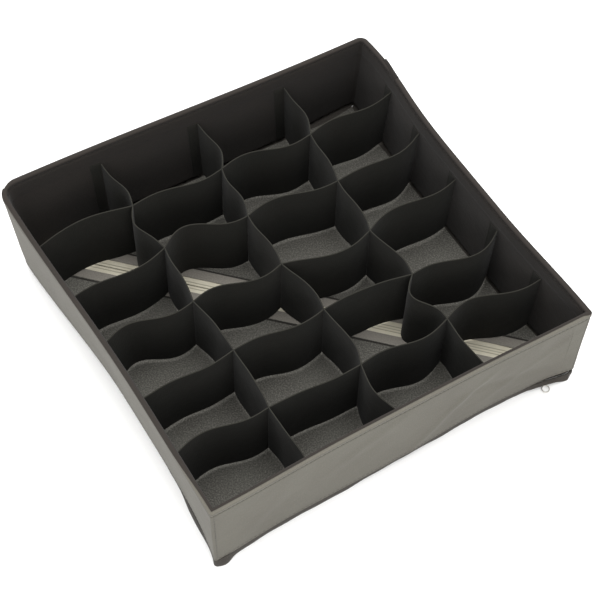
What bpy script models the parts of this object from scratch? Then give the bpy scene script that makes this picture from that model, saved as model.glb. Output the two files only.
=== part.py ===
"""Foldable drawer organiser of non-woven cloth: a square tray with 24 cells and a zip across its bottom.

Lengths below are in millimetres, in the tray's plan: the origin is the outer front-left corner on the floor,
+X runs along the front wall, +Y towards the back wall and +Z up. The frame's own origin is the centre of the
bounding box on the floor, so everything hangs from one empty that stands on the front-left corner.
Each moving piece has its origin on its own hinge axis.
"""

import math

import bmesh
import bpy
import numpy as np

MM = 0.001

# Overall size
SIDE = 350.0  # outer length of each wall
HEIGHT = 90.0  # floor to rim
DIVIDER_TOP = 72.5
DIVIDER_BOTTOM = 9.0  # the dividers hang just clear of the bottom cloth
GAP = 0.3  # between touching pieces

# Wall build-up, as depths from the outer face
COVER = (0.0, 0.8)
BOARD = (1.1, 3.4)
LINING = (3.7, 4.5)
WALL = LINING[1]
RIM = 0.8  # thickness of the lining where it folds over the rim
HEM_DEPTH = (0.5, 2.5)
HEM_TOP = 7.7
COVER_BOTTOM = HEM_TOP + GAP
BOARD_END = 9.0  # the board stops short of the corner, where the sleeve folds
FRONT_HEM_END = 300.0  # the front hem leaves a gap for the zip pull

# Bottom cloth and zip, whose centreline joins the back-left and front-right corners
PANEL_Z = (5.4, 6.0)
PANEL_EDGE = 7.5  # from the zip's centreline to the edge of each panel
TAPE_Z = (4.4, 4.9)
TAPE_REACH = (2.6, 12.0)
COIL_Z = (4.1, 5.1)
COIL_REACH = (0.15, 2.2)
ZIP_ENDS = (17.0, 478.0)  # along the diagonal, from the front-right corner
STOP_LENGTH = 3.0
SLIDER_AT = 25.0

# The zip pull lies towards the front, and its ring shows beyond the wall
RING_AT = (321.0, -5.0)
RING_OUTER = 3.7
RING_INNER = 2.7

# Divider grid. Each long divider turns about a point at its front end; the rows cross it at the same offsets
# from that point on every long divider, which is what lets the grid fold as a parallelogram.
LONG_PIVOTS = [(88.5, 11.0), (172.0, 9.0), (256.5, 6.0)]
LONG_BACK_X = [86.0, 180.0, 268.0]
ROW_OFFSETS = [(2.5, 282.0), (-0.5, 226.5), (-4.5, 167.5), (2.0, 110.5), (0.5, 53.0)]
ROW_RIGHT_Y = [293.0, 239.0, 178.0, 115.0, 55.0]
CLOTH = 0.8  # divider thickness
ROW_CLEAR = 3.0  # from a row piece's end to the long divider's middle
WALL_CLEAR = 5.0  # from a row piece's end to the lining
LONG_CLEAR = (0.8, 3.0)  # from a long divider's front and back ends to the linings

# Bow and swing of each cloth stretch: how far it bulges at its middle, and how far it waves to the two sides
# of its quarter points. Rows bulge to the back, long dividers to the right.
ROW_WAVES = [
    [(5.5, 0.5), (0, 2), (0.5, 1.5), (0, 1)],
    [(-2, 2), (6, 4.5), (2.5, 2), (-4, 2)],
    [(2, 3), (-0.5, 3), (-6, 1.5), (2, 2.5)],
    [(-0.5, 1.5), (-1.5, 1.5), (2.5, 0), (-6, 3.5)],
    [(3, 2.5), (-0.5, 1), (-2, 2.5), (2.5, 3.5)],
]
LONG_WAVES = [
    [(1.5, -1), (-4.5, -1.5), (0.5, -0.5), (1, 0), (1, -0.5), (0, -0.5)],
    [(3, -1), (1, -1), (1, -1), (3, -0.5), (3, -1), (-3.5, 0)],
    [(2, -1), (1, -0.5), (1.5, -1), (2, -1), (-6, -3), (-1.5, 0)],
]
STRETCH_STEPS = 8

# Corner hinge axes. The front-left and back-right corners close as the tray folds, so they turn on the inner
# edge; the other two open, so they turn on the outer edge.
FRONT_LEFT = (WALL, WALL)
FRONT_RIGHT = (SIDE, 0.0)
BACK_RIGHT = (SIDE - WALL, SIDE - WALL)
ZIP_DIRECTION = np.array([-1.0, 1.0]) / math.sqrt(2)  # from the front-right corner to the back-left
ACROSS_ZIP = np.array([-1.0, -1.0]) / math.sqrt(2)  # to the near side
CORNER = np.array(FRONT_RIGHT)


def clear_scene():
    for old in list(bpy.data.objects):
        bpy.data.objects.remove(old, do_unlink=True)


def material(name, colour, roughness=0.9, metallic=0.0):
    made = bpy.data.materials.new(name)
    made.use_nodes = True
    shader = made.node_tree.nodes["Principled BSDF"]
    shader.inputs["Base Color"].default_value = (*colour, 1.0)
    shader.inputs["Roughness"].default_value = roughness
    shader.inputs["Metallic"].default_value = metallic
    return made


def piece(name, points, faces, look, hinge=(0.0, 0.0, 0.0)):
    """Makes a closed object from plan points in millimetres, with its origin on its hinge."""
    mesh = bpy.data.meshes.new(name)
    local = (np.asarray(points, float) - np.asarray(hinge, float)) * MM
    mesh.from_pydata([tuple(p) for p in local], [], faces)
    work = bmesh.new()
    work.from_mesh(mesh)
    bmesh.ops.recalc_face_normals(work, faces=work.faces)
    work.to_mesh(mesh)
    work.free()
    mesh.materials.append(look)
    made = bpy.data.objects.new(name, mesh)
    made.location = [c * MM for c in hinge]
    made.parent = corner
    bpy.context.collection.objects.link(made)
    return made


def loft(first, last):
    """Closes two matching rings of points into one solid. Returns its points and faces."""
    n = len(first)
    sides = [(i, (i + 1) % n, n + (i + 1) % n, n + i) for i in range(n)]
    ends = [tuple(range(n - 1, -1, -1)), tuple(range(n, 2 * n))]
    return np.concatenate([first, last]), sides + ends


def prism(name, outline, z_range, look, hinge=(0.0, 0.0, 0.0)):
    """A flat outline in plan, raised between two heights."""
    flat = np.asarray(outline, float)
    rings = [np.column_stack([flat, np.full(len(flat), z)]) for z in z_range]
    return piece(name, *loft(*rings), look, hinge)


def cut(target, cutter):
    """Takes the cutter's shape out of the target."""
    cutter.hide_render = True
    cutter.display_type = "WIRE"
    hole = target.modifiers.new("cut_" + cutter.name, "BOOLEAN")
    hole.operation = "DIFFERENCE"
    hole.solver = "EXACT"
    hole.object = cutter


def circle(centre, radius, count, start=0.0, sweep=2 * math.pi):
    """Points on an arc, anticlockwise from the start angle. A full circle doesn't repeat its first point."""
    ends = count if abs(sweep) >= 2 * math.pi else count - 1
    angles = start + sweep * np.arange(count) / ends
    return [(centre[0] + radius * math.cos(a), centre[1] + radius * math.sin(a)) for a in angles]


# ---- walls ---------------------------------------------------------------------------------------------

WALLS = {
    "front": (0, FRONT_LEFT),
    "right": (1, FRONT_RIGHT),
    "back": (2, BACK_RIGHT),
    "left": (3, FRONT_LEFT),
}


def on_wall(quarter, along, depth, height):
    """A plan point from a place on a wall: its distance along the outer face, its depth and its height."""
    x, y = along - SIDE / 2, depth - SIDE / 2
    for _ in range(quarter):
        x, y = -y, x
    return x + SIDE / 2, y + SIDE / 2, height


def wall_bar(name, side, profile, look, ends=None):
    """A profile of (depth, height) points carried along one wall.

    Its ends are mitred to the corners, with half a gap each, or cut square at the two given places."""
    quarter, hinge = WALLS[side]
    rings = []
    for end in (0, 1):
        ring = []
        for depth, height in profile:
            mitre = depth + GAP * 0.75
            place = (mitre, SIDE - mitre)[end]
            if ends and ends[end] is not None:
                place = ends[end]
            ring.append(on_wall(quarter, place, depth, height))
        rings.append(np.array(ring))
    return piece(name, *loft(*rings), look, (*hinge, 0.0))


def rectangle(depths, heights):
    return [
        (depths[0], heights[0]),
        (depths[1], heights[0]),
        (depths[1], heights[1]),
        (depths[0], heights[1]),
    ]


def make_wall(side):
    rim_bottom = HEIGHT - RIM
    wall_bar(f"{side}_outer_cover", side, rectangle(COVER, (COVER_BOTTOM, rim_bottom - GAP)), GREY_CLOTH)
    wall_bar(
        f"{side}_stiffener_board",
        side,
        rectangle(BOARD, (COVER_BOTTOM, rim_bottom - GAP)),
        BOARD_GREY,
        (BOARD_END, SIDE - BOARD_END),
    )
    folded = [
        (LINING[0], COVER_BOTTOM),
        (LINING[1], COVER_BOTTOM),
        (LINING[1], HEIGHT),
        (0.0, HEIGHT),
        (0.0, rim_bottom),
        (LINING[0], rim_bottom),
    ]
    wall_bar(f"{side}_lining_and_rim", side, folded, BLACK_CLOTH)
    hem_ends = (None, FRONT_HEM_END) if side == "front" else None
    wall_bar(f"{side}_seam_hem", side, rectangle(HEM_DEPTH, (0.0, HEM_TOP)), BLACK_CLOTH, hem_ends)


# ---- bottom and zip ------------------------------------------------------------------------------------


def on_zip(along, aside):
    """A plan point from a place on the zip: distance from the front-right corner, and offset to the near side."""
    return CORNER + ZIP_DIRECTION * along + ACROSS_ZIP * aside


def bar_on_zip(name, along, aside, heights, look):
    outline = [on_zip(along[i], aside[j]) for i, j in ((0, 0), (1, 0), (1, 1), (0, 1))]
    return prism(name, outline, heights, look)


def make_bottom():
    inside = HEM_DEPTH[1] + GAP
    band = PANEL_EDGE * math.sqrt(2)
    near = [(inside, inside), (SIDE - band - inside, inside), (inside, SIDE - band - inside)]
    far = [(SIDE - x, SIDE - y) for x, y in near]
    prism("near_bottom_panel", near, PANEL_Z, BOTTOM_CLOTH)
    prism("far_bottom_panel", far, PANEL_Z, BOTTOM_CLOTH)
    for label, sign in (("near", 1), ("far", -1)):
        tape = [sign * reach for reach in TAPE_REACH]
        coil = [sign * reach for reach in COIL_REACH]
        bar_on_zip(f"{label}_zip_tape", ZIP_ENDS, tape, TAPE_Z, TAPE_CREAM)
        bar_on_zip(f"{label}_zip_coil", ZIP_ENDS, coil, COIL_Z, COIL_CREAM)
        top = (ZIP_ENDS[0] - GAP - STOP_LENGTH, ZIP_ENDS[0] - GAP)
        bar_on_zip(f"{label}_top_stop", top, coil, COIL_Z, ZIP_METAL)
    bottom = (ZIP_ENDS[1] + GAP, ZIP_ENDS[1] + GAP + STOP_LENGTH)
    bar_on_zip("bottom_stop", bottom, (-COIL_REACH[1], COIL_REACH[1]), COIL_Z, ZIP_METAL)


# ---- slider and pull -----------------------------------------------------------------------------------

PLATE_Z = (2.8, 3.7)
PLATE_HALF = (4.5, 4.2)  # along and across the zip
FLANGE = (3.2, 4.2)  # the flanges' inner and outer faces, from the centreline
FLANGE_TOP = 4.0
BRIDGE_BAR_Z = (0.5, 1.2)
BRIDGE_HALF = 0.8
BRIDGE_FEET = (2.9, 3.6)
BRIDGE_SINK = 0.2  # how far its feet run into the plate
PULL_Z = (1.6, 2.4)
PULL_HALF = 1.95
PULL_NECK = 1.3
EYE = (0.5, 4.5, 1.15)  # the eye's two ends from the hinge, and its half width
PULL_BACK = -0.5
PULL_TAPER = (1.0, 3.0)  # where the pull narrows to its neck, past the eye
NECK_END = 1.0  # the neck's last corner, before it meets the ring
CUTTER_OVER = 1.0  # how far a cutter stands past the pull


def make_slider():
    """A channel plate under the coil with a bridge below it, set along the line in which the pull lies."""
    centre = CORNER + ZIP_DIRECTION * SLIDER_AT
    lie = np.array(RING_AT) - centre
    reach = float(np.linalg.norm(lie))
    lie = lie / reach
    side = np.array([-lie[1], lie[0]])

    def turned(points):
        return [centre + lie * u + side * v for u, v in points]

    hinge = (*centre, 0.0)
    half_long, half_wide = PLATE_HALF
    rings = []
    for along in (SLIDER_AT - half_long, SLIDER_AT + half_long):
        profile = [
            (-half_wide, PLATE_Z[0]),
            (half_wide, PLATE_Z[0]),
            (FLANGE[1], FLANGE_TOP),
            (FLANGE[0], FLANGE_TOP),
            (FLANGE[0], PLATE_Z[1]),
            (-FLANGE[0], PLATE_Z[1]),
            (-FLANGE[0], FLANGE_TOP),
            (-FLANGE[1], FLANGE_TOP),
        ]
        rings.append(np.array([(*on_zip(along, aside), z) for aside, z in profile]))
    slider = piece("zip_slider", *loft(*rings), ZIP_METAL, hinge)
    inner, outer = BRIDGE_FEET
    low, high = BRIDGE_BAR_Z
    top = PLATE_Z[0] + BRIDGE_SINK
    arch = [(-outer, low), (outer, low), (outer, top), (inner, top), (inner, high), (-inner, high)]
    arch += [(-inner, top), (-outer, top)]
    rings = []
    for v in (-BRIDGE_HALF, BRIDGE_HALF):
        rings.append(np.array([(*(centre + lie * u + side * v), z) for u, z in arch]))
    bridge = piece("zip_bridge_guide", *loft(*rings), ZIP_METAL, hinge)
    bridge.hide_render = True
    bridge.display_type = "WIRE"
    join = slider.modifiers.new("bridge", "BOOLEAN")
    join.operation = "UNION"
    join.solver = "EXACT"
    join.object = bridge

    neck = reach - math.sqrt(RING_OUTER**2 - PULL_NECK**2)
    opening = math.asin(PULL_NECK / RING_OUTER)
    ring_turn = 2 * (math.pi - opening)
    wide_end, narrow_start = (EYE[1] + run for run in PULL_TAPER)
    edge = [(PULL_BACK, PULL_HALF), (wide_end, PULL_HALF), (narrow_start, PULL_NECK), (neck - NECK_END, PULL_NECK)]
    shape = [(u, -v) for u, v in edge]
    shape += circle((reach, 0.0), RING_OUTER, 24, math.pi + opening, ring_turn)
    shape += edge[::-1]
    pull = prism("zip_pull", turned(shape), PULL_Z, ZIP_METAL, hinge)
    over = (PULL_Z[0] - CUTTER_OVER, PULL_Z[1] + CUTTER_OVER)
    eye = [(EYE[0], -EYE[2]), (EYE[1], -EYE[2]), (EYE[1], EYE[2]), (EYE[0], EYE[2])]
    cut(pull, prism("pull_eye_cutter", turned(eye), over, ZIP_METAL, hinge))
    ring = circle((reach, 0.0), RING_INNER, 24)
    cut(pull, prism("pull_ring_cutter", turned(ring), over, ZIP_METAL, hinge))


# ---- dividers ------------------------------------------------------------------------------------------


def stretch(start, end, bow, swing):
    """The plan line of one cloth stretch: a straight run plus half a sine wave and one whole sine wave."""
    start, end = np.asarray(start, float), np.asarray(end, float)
    t = np.linspace(0.0, 1.0, STRETCH_STEPS + 1)[:, None]
    run = end - start
    aside = np.array([-run[1], run[0]]) / np.linalg.norm(run)
    return start + run * t + aside * (bow * np.sin(math.pi * t) + swing * np.sin(2 * math.pi * t))


def trimmed(line, front, back):
    """The line with a length taken off each end, in the same number of steps."""
    lengths = np.linalg.norm(np.diff(line, axis=0), axis=1)
    travel = np.concatenate([[0.0], np.cumsum(lengths)])
    wanted = np.linspace(front, travel[-1] - back, len(line))
    return np.column_stack([np.interp(wanted, travel, line[:, k]) for k in (0, 1)])


def ribbon(name, line, hinge):
    """A standing strip of cloth: the plan line given its thickness and raised between the divider heights."""
    along = np.gradient(line, axis=0)
    aside = np.column_stack([-along[:, 1], along[:, 0]])
    aside *= CLOTH / 2 / np.linalg.norm(aside, axis=1, keepdims=True)
    left, right = line + aside, line - aside
    low, high = DIVIDER_BOTTOM, DIVIDER_TOP
    rings = [(right, low), (left, low), (left, high), (right, high)]
    columns = [np.column_stack([edge, np.full(len(line), z)]) for edge, z in rings]
    points = np.stack(columns, axis=1).reshape(-1, 3)
    faces = []
    for i in range(len(line) - 1):
        for k in range(4):
            a, b = 4 * i + k, 4 * i + (k + 1) % 4
            faces.append((a, b, b + 4, a + 4))
    last = 4 * (len(line) - 1)
    faces += [(3, 2, 1, 0), (last, last + 1, last + 2, last + 3)]
    return piece(name, points, faces, BLACK_CLOTH, (*hinge, 0.0))


def crossing(column, row):
    """Where a row crosses a long divider, counting both from zero."""
    return np.array(LONG_PIVOTS[column]) + np.array(ROW_OFFSETS[row])


def make_long_divider(column):
    pivot = LONG_PIVOTS[column]
    stops = [(LONG_BACK_X[column], SIDE - WALL - LONG_CLEAR[1])]
    stops += [crossing(column, row) for row in range(len(ROW_OFFSETS))]
    stops += [(pivot[0], WALL + LONG_CLEAR[0])]
    parts = []
    for wave, start, end in zip(LONG_WAVES[column], stops, stops[1:]):
        parts.append(stretch(start, end, *wave)[:-1])
    parts.append([stops[-1]])
    ribbon(f"long_divider_{column + 1}", np.concatenate(parts), pivot)


def make_row_piece(row, column):
    """One cross piece. It hangs on the wall or long divider at its left, and its right end is open."""
    count = len(LONG_PIVOTS)
    if column == 0:
        hinge = np.array(FRONT_LEFT) + np.array(ROW_OFFSETS[row])
        start = (WALL, FRONT_LEFT[1] + ROW_OFFSETS[row][1])
    else:
        hinge = start = crossing(column - 1, row)
    end = crossing(column, row) if column < count else (SIDE - WALL, ROW_RIGHT_Y[row])
    left = WALL_CLEAR if column == 0 else ROW_CLEAR
    right = WALL_CLEAR if column == count else ROW_CLEAR
    line = trimmed(stretch(start, end, *ROW_WAVES[row][column]), left, right)
    ribbon(f"cross_divider_row{row + 1}_{column + 1}", line, hinge)


clear_scene()
GREY_CLOTH = material("grey non-woven cloth", (0.19, 0.18, 0.17))
BLACK_CLOTH = material("black non-woven cloth", (0.012, 0.012, 0.010))
BOARD_GREY = material("grey board", (0.35, 0.32, 0.27))
BOTTOM_CLOTH = material("dark grey bottom cloth", (0.08, 0.07, 0.065))
TAPE_CREAM = material("cream zip tape", (0.60, 0.56, 0.45))
COIL_CREAM = material("cream nylon coil", (0.70, 0.66, 0.55), 0.5)
ZIP_METAL = material("nickel-plated zinc", (0.55, 0.54, 0.52), 0.3, 1.0)

corner = bpy.data.objects.new("front_left_corner", None)
front_reach = RING_OUTER - RING_AT[1]
corner.location = (-SIDE / 2 * MM, -(SIDE - front_reach) / 2 * MM, 0.0)
bpy.context.collection.objects.link(corner)

for wall_side in WALLS:
    make_wall(wall_side)
make_bottom()
make_slider()
for long_column in range(len(LONG_PIVOTS)):
    make_long_divider(long_column)
for row_index in range(len(ROW_OFFSETS)):
    for row_column in range(len(LONG_PIVOTS) + 1):
        make_row_piece(row_index, row_column)
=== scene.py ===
"""Foldable drawer organiser of non-woven cloth: a square tray of 24 cells with a zip across its bottom.

The pieces come in the order in which the tray is put together. Shapes are worked out in millimetres in the
tray's plan: the origin is the outer front-left corner on the floor, X runs along the front wall, Y towards
the back wall and Z up. Each mesh is moved to the frame's metres as it is made, so every object stands at the
frame's origin, unturned.
"""

import math

import bmesh
import bpy
import numpy as np
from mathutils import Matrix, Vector


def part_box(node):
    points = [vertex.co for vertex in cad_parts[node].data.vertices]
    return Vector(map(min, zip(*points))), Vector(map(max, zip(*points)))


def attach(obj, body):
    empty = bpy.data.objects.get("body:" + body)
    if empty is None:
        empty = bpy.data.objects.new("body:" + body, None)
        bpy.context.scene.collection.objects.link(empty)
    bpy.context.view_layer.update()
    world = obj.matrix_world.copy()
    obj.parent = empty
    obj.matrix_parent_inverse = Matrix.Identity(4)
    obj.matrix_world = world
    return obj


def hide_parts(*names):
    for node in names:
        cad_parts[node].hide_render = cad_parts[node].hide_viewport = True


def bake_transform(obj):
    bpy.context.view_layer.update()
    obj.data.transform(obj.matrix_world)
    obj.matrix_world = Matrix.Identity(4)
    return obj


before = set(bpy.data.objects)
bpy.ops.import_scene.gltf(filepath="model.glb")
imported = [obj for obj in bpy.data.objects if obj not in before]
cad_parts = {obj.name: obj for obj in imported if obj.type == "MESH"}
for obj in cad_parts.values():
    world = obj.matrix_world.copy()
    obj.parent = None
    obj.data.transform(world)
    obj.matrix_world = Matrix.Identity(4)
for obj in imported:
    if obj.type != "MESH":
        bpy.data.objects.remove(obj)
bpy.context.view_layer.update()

# ---- Outer cover -------------------------------------------------------------------------------------
# The outside of the tray is grey spunbond polypropylene, a felt-like cloth pressed with rows of tiny dots.
# One strip runs round the left and front walls and one round the right and back, with a gusset at the
# front-right corner. The tray has been handled, so its walls lean and bow and the front one has creases.

FLOOR_CORNER = np.array([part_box("left_outer_cover")[0].x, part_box("front_outer_cover")[0].y, 0.0])
SIDE = round((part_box("right_outer_cover")[1].x - FLOOR_CORNER[0]) * 1000, 1)
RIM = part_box("front_lining_and_rim")[1].z * 1000
TURN = 4 * SIDE  # once round the tray
BACK_LEFT = 3 * SIDE  # a place round the tray counts anticlockwise from the front-left corner
CORNER_RADIUS = np.array([2.2, 2.2, 7.0, 17.0])  # front-left, front-right, back-right, back-left


def fade(distance, reach):
    """Half a cosine: 1 at no distance, 0 from reach on."""
    return 0.5 + 0.5 * np.cos(np.pi * np.clip(distance / reach, 0.0, 1.0))


def rise(value, low, high):
    """Smooth step from 0 at low to 1 at high."""
    t = np.clip((value - low) / (high - low), 0.0, 1.0)
    return t * t * (3 - 2 * t)


def lean_at_rim(wall, s):
    """How far out of square the rim stands at s along each wall: swells at the corners that bulge."""
    front = 0.4 + 3.0 * fade(s, 130) + 2.2 * fade(SIDE - s, 120)
    right = 0.6 + 4.0 * fade(s, 120) + 7.6 * np.exp(-(((s - 318) / 60) ** 2))
    back = 0.8 + 8.2 * fade(SIDE - s, 330)
    left = 0.8 + 8.0 * fade(s, 240)
    return np.choose(wall, [front, right, back, left])


def lean_at_base(wall, s):
    """The same at the base, where the long walls pull in between their corners."""
    front = 0.5 + 3.9 * fade(s, 75) + 3.6 * fade(SIDE - s, 36) - 3.9 * np.exp(-(((s - 265) / 62) ** 2))
    right = 1.0 - 5.0 * rise(s, 10, 90) * (1 - rise(s, 230, 340))
    back = 1.0 - 5.0 * rise(s, 10, 90) * (1 - rise(s, 200, 300)) - 8.0 * rise(s, 240, 345)
    y = SIDE - s
    left = -(8.8 - 12.0 * rise(y, 165, 345)) * (1 - np.exp(-((np.maximum(y, 0.0) / 30) ** 1.2)))
    return np.choose(wall, [front, right, back, left])


def lean(wall, s, z):
    """Straight line between the two, from base to rim."""
    share = np.clip(z / RIM, 0.0, 1.05) ** 0.9
    return lean_at_base(wall, s) * (1 - share) + lean_at_rim(wall, s) * share


CORNER_REACH = 26.0  # past this the wall runs on as if its corner were square


def round_corner(s, depth, radius):
    """Bends a straight wall round half of a corner: an arc of the given radius at the outer face, and one
    about the same centre at any depth, then straight. Gives places along and into the wall."""
    arc = np.maximum(radius - depth, 0.6)
    centre = depth + arc
    angle = (1 - np.clip(s / radius, 0, 1)) * np.pi / 4
    beyond = centre + (s - radius) * (CORNER_REACH - centre) / (CORNER_REACH - radius)
    along = np.where(s < radius, centre - arc * np.sin(angle), np.where(s < CORNER_REACH, beyond, s))
    into = np.where(s < radius, centre - arc * np.cos(angle), depth)
    return along, into


def on_tray(place, depth, z):
    """A point of a wall, from its place round the tray, its depth from the outer face and its height."""
    place, depth, z = (np.asarray(a, float) for a in np.broadcast_arrays(place, depth, z))
    place = place % TURN
    wall = np.minimum(place // SIDE, 3).astype(int)
    s = place - wall * SIDE
    first = s < SIDE / 2
    a_start, into_start = round_corner(s, depth, CORNER_RADIUS[wall])
    a_end, into_end = round_corner(SIDE - s, depth, CORNER_RADIUS[(wall + 1) % 4])
    along = np.where(first, a_start, SIDE - a_end)
    into = np.where(first, into_start, into_end) - lean(wall, s, z)
    before, after = (wall - 1) % 4, (wall + 1) % 4
    along = along - lean(before, np.full_like(s, SIDE), z) * fade(s, 70)
    along = along + lean(after, np.zeros_like(s), z) * fade(SIDE - s, 70)
    x, y = along - SIDE / 2, into - SIDE / 2
    cos, sin = np.array([1, 0, -1, 0])[wall], np.array([0, 1, 0, -1])[wall]
    return np.stack([cos * x - sin * y + SIDE / 2, sin * x + cos * y + SIDE / 2, z], axis=-1)


STEP = 2.2
CORNER_STEP = 0.7


def places(start, end):
    """Places round the tray from start to end, closer together near each corner."""
    count = int((end - start) / 0.05) + 1
    dense = np.linspace(start, end, count)
    near = np.abs((dense + SIDE / 2) % SIDE - SIDE / 2)
    spacing = np.where(near < 20, CORNER_STEP, STEP)
    travel = np.concatenate([[0], np.cumsum(np.diff(dense) / spacing[:-1])])
    return np.interp(np.linspace(0, travel[-1], int(np.ceil(travel[-1])) + 1), travel, dense)


def in_metres(points):
    """Plan points in millimetres as points of the frame."""
    return points * 0.001 + FLOOR_CORNER


def add_shells(name, points, faces, crease):
    """An object of closed shells from plan points, smooth up to the crease angle."""
    mesh = bpy.data.meshes.new(name)
    mesh.from_pydata(in_metres(points).tolist(), [], faces)
    shell = bmesh.new()
    shell.from_mesh(mesh)
    bmesh.ops.recalc_face_normals(shell, faces=shell.faces)
    shell.to_mesh(mesh)
    shell.free()
    mesh.polygons.foreach_set("use_smooth", np.ones(len(mesh.polygons), bool))
    mesh.set_sharp_from_angle(angle=math.radians(crease))
    made = bpy.data.objects.new(name, mesh)
    bpy.context.scene.collection.objects.link(made)
    return made


def add_mesh(name, points, faces, coords, edge=None, crease=35.0):
    """The same with a UV map in metres and an 'edge' amount, for wear and for painted highlights."""
    made = add_shells(name, points, faces.tolist(), crease)
    mesh = made.data
    corners = np.zeros(len(mesh.loops), np.int32)
    mesh.loops.foreach_get("vertex_index", corners)
    mesh.uv_layers.new(name="cloth").data.foreach_set("uv", (coords[corners] * 0.001).ravel())
    amount = np.zeros(len(points)) if edge is None else edge
    mesh.attributes.new("edge", "FLOAT", "POINT").data.foreach_set("value", amount.astype(np.float32))
    return made


def add_sheet(name, face, back, u, v, edge=None):
    """A sheet of cloth as a closed shell: a grid of points for its face, one for its back, and a border."""
    rows, columns = face.shape[:2]
    index = np.arange(rows * columns).reshape(rows, columns)
    quads = np.stack([index[:-1, :-1], index[1:, :-1], index[1:, 1:], index[:-1, 1:]], -1).reshape(-1, 4)
    rim = np.concatenate([index[:-1, 0], index[-1, :-1], index[:0:-1, -1], index[0, :0:-1]])
    after = np.roll(rim, -1)
    skip = rows * columns
    border = np.stack([rim, rim + skip, after + skip, after], -1)
    faces = np.concatenate([quads, quads[:, ::-1] + skip, border])
    points = np.concatenate([face.reshape(-1, 3), back.reshape(-1, 3)])
    coords = np.stack([np.broadcast_to(u, (rows, columns)), np.broadcast_to(v, (rows, columns))], -1)
    amount = None if edge is None else np.broadcast_to(edge, (rows, columns)).ravel()
    amounts = None if edge is None else np.concatenate([amount, amount])
    return add_mesh(name, points, faces, np.concatenate([coords.reshape(-1, 2)] * 2), amounts)


def linear(hex_colour):
    """An sRGB hex colour as linear numbers."""
    channels = [int(hex_colour[i : i + 2], 16) / 255 for i in (1, 3, 5)]
    return (*[c / 12.92 if c <= 0.04045 else ((c + 0.055) / 1.055) ** 2.4 for c in channels], 1.0)


def add_node(material, kind, sockets=None, **settings):
    """Adds a node with its settings. A socket is given a value, or another node's output to link."""
    node = material.node_tree.nodes.new("ShaderNode" + kind)
    for key, value in settings.items():
        setattr(node, key, value)
    for key, value in (sockets or {}).items():
        if isinstance(value, bpy.types.NodeSocket):
            material.node_tree.links.new(value, node.inputs[key])
        else:
            node.inputs[key].default_value = value
    return node


def new_material(name):
    """An empty material and its shader."""
    material = bpy.data.materials.new(name)
    material.use_nodes = True
    return material, material.node_tree.nodes["Principled BSDF"]


DOT_PITCH = 0.0017  # metres


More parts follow.
